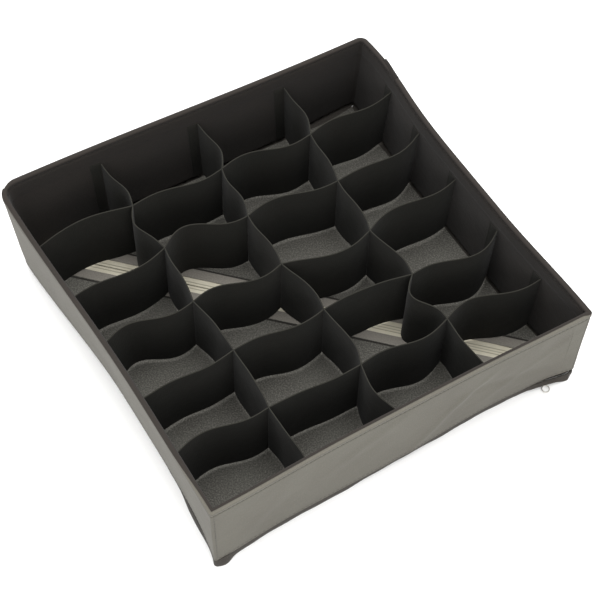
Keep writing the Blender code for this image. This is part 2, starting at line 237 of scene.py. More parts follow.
def spunbond(name, main, tint, fuzz, fleck, sheen, blotch=0.55, seam=None):
    """Spunbond polypropylene: molten threads laid at random and pressed together at rows of small dots.
    It scatters light like felt, with a faint sheen. Its 'edge' amount mixes in a paler colour: wear
    along folds, over the rim and at the hem's foot, the paler raw feet of the dividers, and a painted
    highlight along the dividers' and tabs' top edges. The real dots are about 0.8 mm apart and are drawn
    at twice that, so that they show. The seam argument gives a painted shadow: a dark line at that
    distance across the cloth, where the edge of the fold beside the zip shades it."""
    material, shader = new_material(name)
    metres = add_node(material, "UVMap", uv_map="cloth").outputs["UV"]
    patches = add_node(material, "TexNoise", {"Vector": metres, "Scale": 22.0, "Detail": 2.0})
    clumps = add_node(material, "TexNoise", {"Vector": metres, "Scale": 800.0, "Detail": 4.0})
    creases = add_node(material, "TexNoise", {"Vector": metres, "Scale": 48.0, "Detail": 3.0})
    drawn = add_node(material, "Mapping", {"Vector": metres, "Scale": (1.0, 0.16, 1.0)})
    threads = add_node(material, "TexNoise", {"Vector": drawn.outputs[0], "Scale": 1300.0, "Detail": 2.0})
    dots = add_node(material, "TexVoronoi", {"Vector": metres, "Scale": 1 / DOT_PITCH, "Randomness": 0.25})
    low = add_node(material, "MapRange", {0: patches.outputs["Fac"], 1: 0.35, 2: 0.68, 4: blotch})
    tone = add_node(
        material,
        "Mix",
        {0: low.outputs[0], 6: linear(main), 7: linear(tint)},
        data_type="RGBA",
    )
    speck = add_node(material, "MapRange", {0: clumps.outputs["Fac"], 1: 0.42, 2: 0.72, 4: fleck})
    flecked = add_node(
        material,
        "Mix",
        {0: speck.outputs[0], 6: tone.outputs[2], 7: linear(fuzz)},
        data_type="RGBA",
    )
    # The 'edge' amount: wear on folds, rim and hem foot, paler raw divider feet, and a painted highlight on
    # the dividers' and tabs' top edges.
    edge_wear_and_highlight = add_node(material, "Attribute", attribute_name="edge")
    wear_and_highlight_share = add_node(material, "Math", {0: edge_wear_and_highlight.outputs["Fac"], 1: 0.75}, operation="MULTIPLY")
    colour = add_node(
        material,
        "Mix",
        {0: wear_and_highlight_share.outputs[0], 6: flecked.outputs[2], 7: linear(fuzz)},
        data_type="RGBA",
    )
    # Painted shadow: a dark line where the edge of the fold beside the zip shades the cloth.
    if seam:
        across = add_node(material, "SeparateXYZ", {0: metres})
        off = add_node(material, "Math", {0: across.outputs[1], 1: seam}, operation="SUBTRACT")
        away = add_node(material, "Math", {0: off.outputs[0]}, operation="ABSOLUTE")
        line = add_node(material, "MapRange", {0: away.outputs[0], 1: 0.0006, 2: 0.0012, 3: 0.8, 4: 0.0})
        colour = add_node(
            material,
            "Mix",
            {0: line.outputs[0], 6: colour.outputs[2], 7: linear("#1b1816")},
            data_type="RGBA",
        )
    height = add_node(material, "Math", {0: threads.outputs["Fac"], 1: 0.5}, operation="MULTIPLY")
    pressed = add_node(material, "MapRange", {0: dots.outputs["Distance"], 1: 0.1, 2: 0.35, 4: 0.6})
    relief = add_node(material, "Math", {0: height.outputs[0], 1: pressed.outputs[0]}, operation="ADD")
    loose = {"Height": creases.outputs["Fac"], "Strength": 0.6, "Distance": 0.0012}
    rumple = add_node(material, "Bump", loose)
    tight = {"Height": relief.outputs[0], "Strength": 0.7, "Distance": 0.00018, "Normal": rumple.outputs[0]}
    bump = add_node(material, "Bump", tight)
    material.node_tree.links.new(colour.outputs[2], shader.inputs["Base Color"])
    material.node_tree.links.new(bump.outputs[0], shader.inputs["Normal"])
    rough = add_node(material, "MapRange", {0: clumps.outputs["Fac"], 1: 0.3, 2: 0.7, 3: 0.72, 4: 0.92})
    material.node_tree.links.new(rough.outputs[0], shader.inputs["Roughness"])
    shader.inputs["IOR"].default_value = 1.49
    shader.inputs["Specular IOR Level"].default_value = 0.08
    shader.inputs["Sheen Weight"].default_value = sheen
    shader.inputs["Sheen Roughness"].default_value = 0.5
    return material


def ridge(x, z, start, end, height, width):
    """A soft crease along a line on a wall: a Gaussian across it, fading out past its two ends."""
    start, end = np.array(start, float), np.array(end, float)
    run = end - start
    t = ((x - start[0]) * run[0] + (z - start[1]) * run[1]) / (run @ run)
    off = np.abs((x - start[0]) * run[1] - (z - start[1]) * run[0]) / np.hypot(*run)
    taper = rise(t, -0.35, 0.25) * (1 - rise(t, 0.75, 1.35))
    return height * taper * np.exp(-((off / width) ** 2))


def cover_waves(place, z):
    """Creases on the front wall, and the faint waves of cloth over board on all four."""
    x = np.where(place % TURN < SIDE, place % TURN, -999.0)
    folds = ridge(x, z, (190, 12), (238, 58), 1.0, 5.0) + ridge(x, z, (228, 46), (262, 68), 1.1, 4.0)
    folds += ridge(x, z, (240, 57), (312, 34), -0.9, 6.0) + ridge(x, z, (112, 50), (180, 77), 0.7, 6.0)
    folds += ridge(x, z, (262, 30), (330, 62), 0.6, 5.0) + ridge(x, z, (30, 25), (70, 60), 0.4, 7.0)
    waves = 0.22 * np.sin(place / 17.0 + z / 21.0) + 0.16 * np.sin(place / 9.3 - z / 13.0 + 1.0)
    return -folds - waves * rise(z, 8, 30) * (1 - rise(z, 66, 84))


def rise_of_gap(place):
    """At the front-right corner the cover stops higher, over the open end of the zip."""
    x = place % TURN
    return 1.2 * np.exp(-(((x - 334) / 15) ** 2))


def profile_lengths(depths, heights):
    """Distance along a profile of depths and heights, for its UV."""
    return np.concatenate([[0], np.cumsum(np.hypot(np.diff(depths), np.diff(heights)))])


BASE = 8.0  # the walls start above the seam hem
TOPSTITCH = 83.6


COVER_THICKNESS = 0.7


def cover_profile():
    """Depth and height up the outer face, with a stitched groove and a fuller fold above it."""
    plain = np.concatenate([np.linspace(BASE, 80, 34), np.linspace(81, 87.6, 16)])
    groove = 0.55 * np.exp(-(((plain - TOPSTITCH) / 0.7) ** 2))
    full = -0.35 * np.exp(-(((plain - 86.6) / 1.4) ** 2)) - 0.25 * np.exp(-(((plain - 9.0) / 1.0) ** 2))
    depths = np.concatenate([groove + full, [0.05, 0.35, 0.9, 1.6, 2.2]])
    heights = np.concatenate([plain, [88.3, 88.9, 89.25, 89.4, 89.4]])
    return depths, heights


def inward(depths, heights, thickness):
    """The profile moved by a thickness to its inner side, square to its own run."""
    run = np.gradient(np.stack([depths, heights]), axis=1)
    run /= np.linalg.norm(run, axis=0)
    return depths + run[1] * thickness, heights - run[0] * thickness


def tucked(around, depth, z):
    """The back wall's cloth ends under the left wall's: drawn in from both its faces and from the rim."""
    share = 0.6 * rise(around, BACK_LEFT - 16, BACK_LEFT - 1) * (around <= BACK_LEFT)
    return depth + share * np.clip((2.3 - depth) / 1.5, -1, 1), z - share * rise(z, 84, 89)


def wrap(name, span, profile, thickness, waves=None, lift=None, edge=None):
    """A profile carried round part of the tray as a sheet of cloth."""
    around = places(*span)[:, None]
    depths, heights = profile
    back = inward(depths, heights, thickness)
    v = profile_lengths(depths, heights)[None, :]
    grids = []
    for d, h in (profile, back):
        z = h[None, :] + (lift(around) * (1 - rise(h, BASE, 26))[None, :] if lift else 0.0)
        depth = d[None, :] + (waves(around, z) if waves else 0.0) + 0 * around
        if span[1] == BACK_LEFT:
            depth, z = tucked(around, depth, z)
        grids.append(on_tray(around, depth, z))
    made = add_sheet(name, *grids, around, v + 0 * around, edge)
    return made, float(v.max())


def bend_at(piece, corner_place, bodies):
    """Bakes the piece's place into its mesh. Points about the corner are worked out, but the cloth isn't
    bent there.
    """
    corner = on_tray(corner_place, 0.0, 45.0)
    before = on_tray(corner_place - 30, 0.0, 45.0)
    after = on_tray(corner_place + 30, 0.0, 45.0)
    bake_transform(piece)


CORNER_BODIES = {
    "front_left": (TURN, ("left_wall", "front_wall")),
    "front_right": (SIDE, ("front_wall", "right_wall")),
    "back_right": (2 * SIDE, ("right_wall", "back_wall")),
}
GUSSET = 15.0  # each way from the front-right corner
SPANS = {
    "left_front": ((BACK_LEFT, TURN + SIDE - GUSSET), "front_left"),
    "front_right_gusset": ((SIDE - GUSSET, SIDE + GUSSET), "front_right"),
    "right_back": ((SIDE + GUSSET, BACK_LEFT), "back_right"),
}

# Its pale fibres show as light flecks on a warm grey.
grey_cloth = spunbond("grey spunbond polypropylene", "#58564f", "#504d47", "#6d6960", 0.5, 0.1)
cover_depths, cover_heights = cover_profile()
fold_wear = np.exp(-(((cover_heights - 88.6) / 0.9) ** 2))[None, :] * 0.6
for part, (span, corner_name) in SPANS.items():
    cover, cut_height = wrap(
        f"{part}_cover_cloth",
        span,
        (cover_depths, cover_heights),
        COVER_THICKNESS,
        cover_waves,
        rise_of_gap,
        fold_wear,
    )
    cover.data.materials.append(grey_cloth)
    bend_at(cover, *CORNER_BODIES[corner_name])
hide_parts("left_outer_cover", "front_outer_cover")
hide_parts("right_outer_cover", "back_outer_cover")

# ---- Stiffener boards --------------------------------------------------------------------------------
# A sheet of grey chipboard stands inside each wall between the two cloths. It stops short of the corners
# so that the tray can fold, and shows only along the walls' lower edges.

# Pressed waste paper: matt, with darker and lighter pulp.
board_grey, board_shader = new_material("grey chipboard")
flat_place = add_node(board_grey, "UVMap", uv_map="cloth").outputs["UV"]
pulp = add_node(board_grey, "TexNoise", {"Vector": flat_place, "Scale": 900.0, "Detail": 4.0})
pulp_tone = add_node(
    board_grey,
    "Mix",
    {0: pulp.outputs["Fac"], 6: linear("#767066"), 7: linear("#938c80")},
    data_type="RGBA",
)
board_grey.node_tree.links.new(pulp_tone.outputs[2], board_shader.inputs["Base Color"])
board_shader.inputs["Roughness"].default_value = 0.95

WALLS = ("front", "right", "back", "left")
BOARD_END = 13.0  # how far each board stops from its corners, and at the wide back-left one
BOARD_BACK_LEFT_END = 26.0
BOARD_DEPTH = 1.2
BOARD_THICKNESS = 2.0
board_heights = np.linspace(BASE + 1.0, 87.5, 12)
board_profile = (np.full(len(board_heights), BOARD_DEPTH), board_heights)
for wall_number, side in enumerate(WALLS):
    from_start = BOARD_BACK_LEFT_END if side == "left" else BOARD_END
    from_end = BOARD_BACK_LEFT_END if side == "back" else BOARD_END
    span = (wall_number * SIDE + from_start, (wall_number + 1) * SIDE - from_end)
    board, _ = wrap(f"{side}_board", span, board_profile, BOARD_THICKNESS, lift=rise_of_gap)
    board.data.materials.append(board_grey)
    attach(board, f"{side}_wall")
    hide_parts(f"{side}_stiffener_board")

# ---- Lining and rim ----------------------------------------------------------------------------------
# The inside is the same cloth in black. It comes up the inner face, over the rim and a little way down
# the outside, and on the front wall it stops on top of the rim. A stitched hem makes a soft ridge below
# the rim. At the back-left corner the two strips end, and a sleeve of cloth closes the joint as it folds.

WALL = 4.5  # from the cover's face to the lining's
LINING_THICKNESS = 0.6
# The same cloth dyed in the melt, so its flecks stay dark.
black_cloth = spunbond("black spunbond polypropylene", "#201e1c", "#26221f", "#3c3733", 0.3, 0.08)
up_inside = np.concatenate([np.linspace(BASE, 72, 24), np.linspace(73.5, 88.0, 22)])
hem_ridge = 0.6 * rise(up_inside, 73, 77) * (1 - rise(up_inside, 84.0, 87.0))
hem_groove = -0.6 * np.exp(-(((up_inside - 87.0) / 0.7) ** 2))
over_rim_depths = [4.3, 3.9, 3.3, 2.6, 1.9, 1.2, 0.6, 0.1, -0.15]
over_rim_heights = [88.8, 89.5, 89.9, 90.0, 90.0, 89.95, 89.85, 89.6, 89.1]
lining_depths = np.concatenate([WALL + hem_ridge + hem_groove, over_rim_depths])
lining_heights = np.concatenate([up_inside, over_rim_heights])
rim_wear = 0.5 * rise(lining_heights, 88.0, 89.6)[None, :]


def short_on_front(place, depth):
    """On the front wall the lining's edge stops on top of the rim and doesn't reach the outside."""
    x = (place + SIDE) % TURN - SIDE  # negative on the left wall
    front = rise(x, -60, -8) * (1 - rise(x, SIDE - 10, SIDE - 1))
    return np.maximum(depth, -0.15 + 1.9 * front)


def wrap_lining(name, span):
    """The lining's profile carried along part of the tray, and its length from foot to edge."""
    around = places(*span)[:, None]
    grids = []
    back = inward(lining_depths, lining_heights, -LINING_THICKNESS)
    for d, h in ((lining_depths, lining_heights), back):
        z = h[None, :] + rise_of_gap(around) * (1 - rise(h, BASE, 26))[None, :] * 0.5
        depth = short_on_front(around, d[None, :] + 0 * around)
        if span[1] == BACK_LEFT:
            depth, z = tucked(around, depth, z)
        grids.append(on_tray(around, depth, z))
    v = profile_lengths(lining_depths, lining_heights)[None, :]
    made = add_sheet(name, *grids, around, 200 + v + 0 * around, rim_wear)
    made.data.materials.append(black_cloth)
    return made, float(v.max())


for part, (span, corner_name) in SPANS.items():
    lining, cut_height = wrap_lining(f"{part}_lining_cloth", span)
    bend_at(lining, *CORNER_BODIES[corner_name])
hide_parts("left_lining_and_rim", "front_lining_and_rim")
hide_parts("right_lining_and_rim", "back_lining_and_rim")

SLEEVE_THICKNESS = 0.35
for name, depth, foot, cloth, node in (
    ("back_left_outer_sleeve", 1.5, 1.0, grey_cloth, "grey_outer_cloth"),
    ("back_left_inner_sleeve", 2.5, 9.0, black_cloth, "black_lining_cloth"),
):
    upright = np.linspace(foot, 87.0, 14)
    profile = (np.full(len(upright), depth), upright)
    sleeve, sleeve_height = wrap(name, (BACK_LEFT - 10, BACK_LEFT + 4), profile, SLEEVE_THICKNESS)
    sleeve.data.materials.append(cloth)
    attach(sleeve, "left_wall")

# The rim's cloth is joined on the right wall with a lap, which stands a little proud of it.
lap_place = SIDE + 315.0
lap_depths = np.concatenate([np.full(4, -0.15), [0.0, 0.6, 1.4, 2.2, 3.0, 3.8, 4.4], np.full(4, 4.6)])
up_outside = [83.5, 85.5, 87.5, 89.0]
over_rim = [89.8, 90.3, 90.5, 90.5, 90.4, 90.1, 89.3]
down_inside = [88.2, 86.0, 84.0, 82.0]
lap_heights = np.concatenate([up_outside, over_rim, down_inside])


def proud(place, z):
    """Lifts the lap off the cloth below it, more towards its open end."""
    return -1.1 * rise(place, lap_place - 22, lap_place) * (z > 82.5)


lap, lap_height = wrap("rim_lap", (lap_place - 24, lap_place), (lap_depths, lap_heights), 0.5, proud)
lap.data.materials.append(black_cloth)
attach(lap, "right_wall")

# ---- Seam hem ----------------------------------------------------------------------------------------
# Below each wall hangs the seam that joins it to the bottom: a doubled flange of darker cloth, baggy at
# the front-left corner and standing open at the front-right one over the zip's end. Inside, the seam
# allowance lies flat under the edge of the bottom cloth.

# A thinner grade of the same, darker where it is doubled.
hem_cloth = spunbond("dark grey seam cloth", "#373431", "#302d2a", "#524e48", 0.5, 0.08)


def hem_flare(place):
    """How far the flange swings out: a bag at the front-left corner, a lip at the front-right one, and
    tucked under halfway along the front."""
    x = (place + SIDE) % TURN - SIDE  # negative on the left wall
    bag = 3.3 * np.exp(-(((x - 8) / 8) ** 2)) + 2.6 * np.exp(-(((x + 42) / 20) ** 2))
    lip = 4.2 * rise(x, 285, 330) * (1 - rise(x, 341, 349))
    tuck = -1.6 * np.exp(-(((x - 172) / 42) ** 2))
    left = -1.2 * rise(-x, 70, 110) * (1 - rise(-x, 330, 350))
    return 0.5 + bag + lip + tuck + left + 0.3 * np.sin(place / 6.1) * np.sin(place / 23.0 + 0.7)


def hem_floor(place):
    """Height of the flange's lower edge, raised where the zip pull passes under it."""
    x = place % TURN
    return 0.25 + 3.4 * rise(x, 292, 306) * (1 - rise(x, 330, 339)) + 0.15 * (1 + np.sin(place / 19.0))


def make_hem(name, span):
    """The flange below part of the wall, and its mean height."""
    around = places(*span)[:, None]
    share = np.linspace(0, 1, 9)[None, :]  # from the floor up
    x = around % TURN
    top = 8.3 - 3.2 * rise(x, 300, 332) * (1 - rise(x, SIDE, SIDE + 12))
    top = np.maximum(top, hem_floor(around) + 2.2)
    z = hem_floor(around) * (1 - share) + top * share
    roll = 0.5 * np.sin(np.pi * share)
    out = hem_flare(around) * (1 - 0.6 * share) + roll
    face = on_tray(around, 0.75 - out, z)
    back = on_tray(around, 1.75 - out, z + 0.05)
    edge = np.exp(-((share / 0.12) ** 2)) * 0.5 + 0 * around
    made = add_sheet(name, face, back, around + 0 * share, 400 + z, edge)
    made.data.materials.append(hem_cloth)
    return made, float(np.mean(np.linalg.norm(face[:, -1] - face[:, 0], axis=-1)))


ALLOWANCE_START = 1.9  # depth from the wall's face
ALLOWANCE_THICKNESS = 0.35


def make_allowance(name, span, height):
    """The seam's flat inner edge along one wall, narrower near the zip's ends."""
    around = places(*span)[:, None]
    x = around % TURN
    to_zip = np.minimum(np.abs(x - SIDE), np.abs(x - BACK_LEFT))
    reach = 5.2 + 7.3 * rise(to_zip, 16, 44)
    share = np.linspace(0, 1, 6)[None, :]
    depth = ALLOWANCE_START + (reach - ALLOWANCE_START) * share
    made = add_sheet(
        name,
        on_tray(around, depth, height + 0 * depth),
        on_tray(around, depth, height - ALLOWANCE_THICKNESS + 0 * depth),
        around + 0 * share,
        450 + depth,
    )
    made.data.materials.append(hem_cloth)
    return made


for part, (span, corner_name) in SPANS.items():
    hem, hem_height = make_hem(f"{part}_seam_hem", span)
    bend_at(hem, *CORNER_BODIES[corner_name])
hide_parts("left_seam_hem", "front_seam_hem")
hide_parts("right_seam_hem", "back_seam_hem")
for wall_number, side in enumerate(WALLS):
    span = (wall_number * SIDE + 3.0, (wall_number + 1) * SIDE - 3.0)
    height = 3.2 if side in ("front", "back") else 2.8  # neighbours pass as the tray folds
    allowance = make_allowance(f"{side}_seam_allowance", span, height)
    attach(allowance, f"{side}_wall")

# ---- Bottom cloth ------------------------------------------------------------------------------------
# Two triangles of dark grey spunbond make the bottom. Each is sewn to two walls, and its long side is
# folded under along the zip, where the fold shows as a paler band. They lie slack on the ground.

ZIP_CORNER = np.array([SIDE, 0.0])  # the zip starts at the front-right corner
ALONG_ZIP = np.array([-1.0, 1.0]) / math.sqrt(2)
ACROSS_ZIP = np.array([-1.0, -1.0]) / math.sqrt(2)  # towards the front-left
PANEL_TOP = 5.95
PANEL_THICKNESS = 0.5
PANEL_EDGE = 7.5
BAND_START = 7.2
BAND_EDGE = 16.6
FAN = 76.0  # how far each side of its middle a panel's tilt reaches, so that its halves pass as the tray folds


def on_zip(along, aside, side):
    """Plan points beside the zip, on the near (+1) or far (-1) side."""
    along, aside = (np.asarray(a, float)[..., None] for a in np.broadcast_arrays(along, aside))
    return ZIP_CORNER + ALONG_ZIP * along + ACROSS_ZIP * aside * side


def from_zip(points):
    """The same the other way: how far along the zip a plan point is, and how far from its centre."""
    offset = points[..., :2] - ZIP_CORNER
    return offset @ ALONG_ZIP, np.abs(offset @ ACROSS_ZIP)


def clear_of_walls(along, aside, side):
    """Narrows a strip beside the zip towards its ends, where the walls' feet come in."""
    far_end = 487.0 if side > 0 else 480.0
    return np.minimum(aside, np.maximum(np.minimum(along - 6.0, far_end - along), 1.0))


def tilt(points, side):
    """A slight tilt along the zip's direction, so that the two halves of a folding panel pass."""
    along, _ = from_zip(points)
    t = np.clip((SIDE / math.sqrt(2) - along) / FAN, -1, 1) * side
    return 0.28 * t


def slack(points):
    """Soft hollows in loose cloth, 20 to 60 mm across: a few sine waves that cross."""
    x, y = points[..., 0], points[..., 1]
    return (
        0.45 * np.sin(x / 13.0 + y / 31.0)
        + 0.35 * np.sin(y / 11.0 - x / 27.0 + 1.3)
        + 0.3 * np.sin((x - y) / 8.0 + 0.6) * np.sin((x + y) / 35.0)
    )


def fan(piece):
    """Bakes a bottom piece's place into its mesh; it is not bent between its walls."""
    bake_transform(piece)


# Distance from the zip's centre of a painted shadow line, where the fold's edge shades the bottom cloth.
FOLD_EDGE_SHADOW_FROM_ZIP = 0.0178  # metres
# A coarse grade with pale flecks; the fold beside the zip is cut from a lighter one.
bottom_cloth = spunbond(
    "dark grey spunbond polypropylene",
    "#54534e",
    "#4b4945",
    "#7e7c75",
    fleck=0.85,
    sheen=0.05,
    blotch=1.0,
    seam=FOLD_EDGE_SHADOW_FROM_ZIP,
)
band_cloth = spunbond("mid grey spunbond polypropylene", "#827e77", "#77736b", "#9a958c", 0.5, 0.05)
for label, side, middle in (("near", 1, 0.0), ("far", -1, 2 * SIDE)):
    share = np.linspace(0, 1, 171)[:, None]  # along the zip
    down = np.linspace(0, 1, 56)[None, :]  # from the zip to the walls
    round_walls = middle + (1 - 2 * share[:, 0]) * (SIDE - 17.5)
    near_corner = np.exp(-(((np.abs(round_walls - middle) - 36) / 30) ** 2))
    legs = on_tray(round_walls, 5.4 + 4.6 * near_corner, 6.0)[:, None, :2]
    start, end = legs[0, 0], legs[-1, 0]
    along_ends = [from_zip(p)[0] for p in (start, end)]
    long_side = on_zip(along_ends[0] + share * (along_ends[1] - along_ends[0]), PANEL_EDGE, side)
    flat = long_side * (1 - down[..., None]) + legs * down[..., None]
    loose = rise(down, 0, 0.12) * (1 - rise(down, 0.88, 1.0)) + 0 * share
    _, from_middle = from_zip(flat)
    sag = 1.9 * rise(from_middle, 17, 45)
    level = PANEL_TOP - sag + tilt(flat, side) * (1 - 0.5 * rise(down, 0.6, 1.0))
    z = level + (slack(flat) * 0.6 - 0.5) * loose
    face = np.concatenate([flat, z[..., None]], -1)
    back = np.concatenate([flat, z[..., None] - PANEL_THICKNESS], -1)
    u, v = from_zip(flat)
    panel = add_sheet(f"{label}_bottom_cloth", face, back, u, v)
    panel.data.materials.append(bottom_cloth)
    fan(panel)
    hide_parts(f"{label}_bottom_panel")

    across = np.linspace(0, 1, 9)[None, :]
    along = np.linspace(22.0, 468.0, 170)[:, None]
    aside = BAND_START + (BAND_EDGE - BAND_START) * across
    aside = clear_of_walls(along, aside + 0 * along, side)
    flat = on_zip(along, aside, side)
    roll = 0.25 * np.sin(np.pi * across) ** 0.5
    z = 6.0 + tilt(flat, side) + roll + 0.06 * np.sin(along / 7.0)
    face = np.concatenate([flat, z[..., None]], -1)
    back = np.concatenate([flat, 5.9 + tilt(flat, side)[..., None] + 0 * z[..., None]], -1)
    band = add_sheet(f"{label}_zip_fold", face, back, along + 0 * across, 500 + aside)
    band.data.materials.append(band_cloth)
    fan(band)

# ---- Zip tape and coil -------------------------------------------------------------------------------
# A closed-end nylon coil zip in cream. The woven tapes meet over the coil, which is on the underside, and
# two rows of sewing hold it to them. The metal stops at its ends are stamped clips.

TAPE_TOP = 5.2
TAPE_THICKNESS = 0.4
TAPE_WIDTH = 14.2
ZIP_START = 17.0
TAPE_END = 474.0
# Woven polyester: a matt herringbone with a faint sheen, a little soiled, with a darker line where the
# two tapes meet and another along each row of sewing.
zip_tape, tape_shader = new_material("cream woven polyester zip tape")
tape_place = add_node(zip_tape, "UVMap", uv_map="cloth").outputs["UV"]
# Herringbone of about 0.5 mm drawn at 0.9 mm, so that it shows.
tape_parts = add_node(zip_tape, "SeparateXYZ", {0: tape_place})
weave = add_node(
    zip_tape,
    "TexWave",
    {"Vector": tape_place, "Scale": 350.0, "Distortion": 1.0, "Detail": 1.0},
    bands_direction="DIAGONAL",
)
soil = add_node(zip_tape, "TexNoise", {"Vector": tape_place, "Scale": 60.0, "Detail": 3.0})
soil_share = add_node(zip_tape, "MapRange", {0: soil.outputs["Fac"], 1: 0.4, 2: 0.7, 4: 0.6})
cream = add_node(
    zip_tape,
    "Mix",
    {0: soil_share.outputs[0], 6: linear("#d0cab6"), 7: linear("#bdb6a0")},
    data_type="RGBA",
)
stripe = add_node(zip_tape, "Math", {0: tape_parts.outputs[1], 1: 0.0029}, operation="SUBTRACT")
stripe_off = add_node(zip_tape, "Math", {0: stripe.outputs[0]}, operation="ABSOLUTE")
sewn = add_node(zip_tape, "MapRange", {0: stripe_off.outputs[0], 1: 0.0003, 2: 0.0006, 3: 0.6, 4: 0.0})
meeting = add_node(zip_tape, "MapRange", {0: tape_parts.outputs[1], 1: 0.0003, 2: 0.0007, 3: 0.65, 4: 0.0})
lines = add_node(zip_tape, "Math", {0: sewn.outputs[0], 1: meeting.outputs[0]}, operation="MAXIMUM")
tape_colour = add_node(
    zip_tape,
    "Mix",
    {0: lines.outputs[0], 6: cream.outputs[2], 7: linear("#686453")},
    data_type="RGBA",
)
tape_bump = add_node(zip_tape, "Bump", {"Height": weave.outputs["Fac"], "Strength": 0.4, "Distance": 0.0001})
zip_tape.node_tree.links.new(tape_colour.outputs[2], tape_shader.inputs["Base Color"])
zip_tape.node_tree.links.new(tape_bump.outputs[0], tape_shader.inputs["Normal"])
tape_shader.inputs["Roughness"].default_value = 0.8
tape_shader.inputs["Sheen Weight"].default_value = 0.15

# Moulded monofilament: smooth, with a soft gloss on each turn.
nylon_coil, coil_shader = new_material("cream nylon zip coil")
coil_place = add_node(nylon_coil, "UVMap", uv_map="cloth").outputs["UV"]
coil_tone = add_node(nylon_coil, "TexNoise", {"Vector": coil_place, "Scale": 120.0})
coil_mix = add_node(
    nylon_coil,
    "Mix",
    {0: coil_tone.outputs["Fac"], 6: linear("#beb8a4"), 7: linear("#a49e88")},
    data_type="RGBA",
)
nylon_coil.node_tree.links.new(coil_mix.outputs[2], coil_shader.inputs["Base Color"])
coil_shader.inputs["Roughness"].default_value = 0.35
coil_shader.inputs["IOR"].default_value = 1.53


def sweep_tube(path, radius, sides, closed=False):
    """Points and faces of a round tube on a path: a ring square to the path's run at each of its points."""
    run = np.gradient(path, axis=0)
    if closed:
        run = np.roll(path, -1, axis=0) - np.roll(path, 1, axis=0)
    run /= np.linalg.norm(run, axis=1, keepdims=True)
    up = np.tile([0.0, 0.0, 1.0], (len(path), 1))
    up[np.abs(run[:, 2]) > 0.95] = [1.0, 0.0, 0.0]
    one = np.cross(run, up)
    one /= np.linalg.norm(one, axis=1, keepdims=True)
    two = np.cross(run, one)
    turn = np.arange(sides) * 2 * np.pi / sides
    ring = one[:, None] * np.cos(turn)[None, :, None] + two[:, None] * np.sin(turn)[None, :, None]
    points = path[:, None] + ring * radius
    count = len(path)
    index = np.arange(count * sides).reshape(count, sides)
    here = index if closed else index[:-1]
    there = np.roll(index, -1, axis=0) if closed else index[1:]
    quads = np.stack([here, np.roll(here, -1, 1), np.roll(there, -1, 1), there], -1)
    return points.reshape(-1, 3), quads.reshape(-1, 4)


COIL_PITCH = 1.25
COIL_END = 470.0
COIL_HEIGHT = 4.5
COIL_WIRE = 0.2  # the thread's radius
COIL_SIDES = 4
for label, side in (("near", 1), ("far", -1)):
    along = np.linspace(ZIP_START, TAPE_END, 190)[:, None]
    aside = clear_of_walls(along, np.linspace(0.12, TAPE_WIDTH, 12)[None, :] + 0 * along, side)
    flat = on_zip(along, aside, side)
    z = TAPE_TOP + tilt(flat, side) + 0.1 * np.sin(along / 5.0) * rise(aside, 2, 7)
    face = np.concatenate([flat, z[..., None]], -1)
    back = np.concatenate([flat, z[..., None] - TAPE_THICKNESS], -1)
    tape = add_sheet(f"{label}_tape", face, back, along + 0 * aside, aside)
    tape.data.materials.append(zip_tape)
    fan(tape)
    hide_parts(f"{label}_zip_tape")

    turns = (COIL_END - ZIP_START) / COIL_PITCH
    angle = np.linspace(0, turns * 2 * np.pi, int(turns * 9))
    along = ZIP_START + angle / (2 * np.pi) * COIL_PITCH + (COIL_PITCH / 2 if side < 0 else 0)
    along = np.minimum(along, COIL_END)
    aside = 1.05 - 1.25 * np.cos(angle)
    flat = on_zip(along, aside, side)
    z = COIL_HEIGHT + 0.33 * np.sin(angle) + tilt(flat, side)
    path = np.concatenate([flat, z[:, None]], -1)
    points, quads = sweep_tube(path, COIL_WIRE, COIL_SIDES)
    ends = np.array([[3, 2, 1, 0], [-4, -3, -2, -1]]) % len(points)
    coords = np.stack([np.repeat(along, COIL_SIDES), np.repeat(aside, COIL_SIDES)], -1)
    coil = add_mesh(f"{label}_coil", points, np.concatenate([quads, ends]), coords, crease=60.0)
    coil.data.materials.append(nylon_coil)
    fan(coil)
    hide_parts(f"{label}_zip_coil")

# ---- Slider and pull ---------------------------------------------------------------------------------
# Nickel-plated zinc castings: a slider body whose two plates hold the coil between them, and a flat pull
# with a wire-thin ring, hung from the bridge on the underside.

# Thin bright plating over a tumbled casting: a metal with a fine grain and slightly uneven gloss.
bright_zinc, zinc_shader = new_material("nickel-plated zinc casting")
zinc_place = add_node(bright_zinc, "TexCoord").outputs["Object"]
cast_grain = add_node(bright_zinc, "TexNoise", {"Vector": zinc_place, "Scale": 1500.0, "Detail": 3.0})
rub_marks = add_node(bright_zinc, "MapRange", {0: cast_grain.outputs["Fac"], 3: 0.22, 4: 0.42})
plate_tone = add_node(
    bright_zinc,
    "Mix",
    {0: cast_grain.outputs["Fac"], 6: linear("#cdcac3"), 7: linear("#b2aea6")},
    data_type="RGBA",
)
grain_bump = add_node(bright_zinc, "Bump", {"Height": cast_grain.outputs["Fac"], "Distance": 0.00003})
bright_zinc.node_tree.links.new(plate_tone.outputs[2], zinc_shader.inputs["Base Color"])
bright_zinc.node_tree.links.new(rub_marks.outputs[0], zinc_shader.inputs["Roughness"])
bright_zinc.node_tree.links.new(grain_bump.outputs[0], zinc_shader.inputs["Normal"])
zinc_shader.inputs["Metallic"].default_value = 1.0

SLIDER_AT = 25.0
slider_centre = on_zip(SLIDER_AT, 0.0, 1)
pull_corner = np.array(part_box("zip_pull")[0][:2]) - FLOOR_CORNER[:2]
RING_RADIUS = 3.25
RING_WIRE = 0.45
ring_centre = pull_corner * 1000 + RING_RADIUS + RING_WIRE
pull_run = ring_centre - slider_centre
pull_length = float(np.linalg.norm(pull_run))
pull_run = pull_run / pull_length
pull_side = np.array([-pull_run[1], pull_run[0]])
SOFT_RIM = 0.25


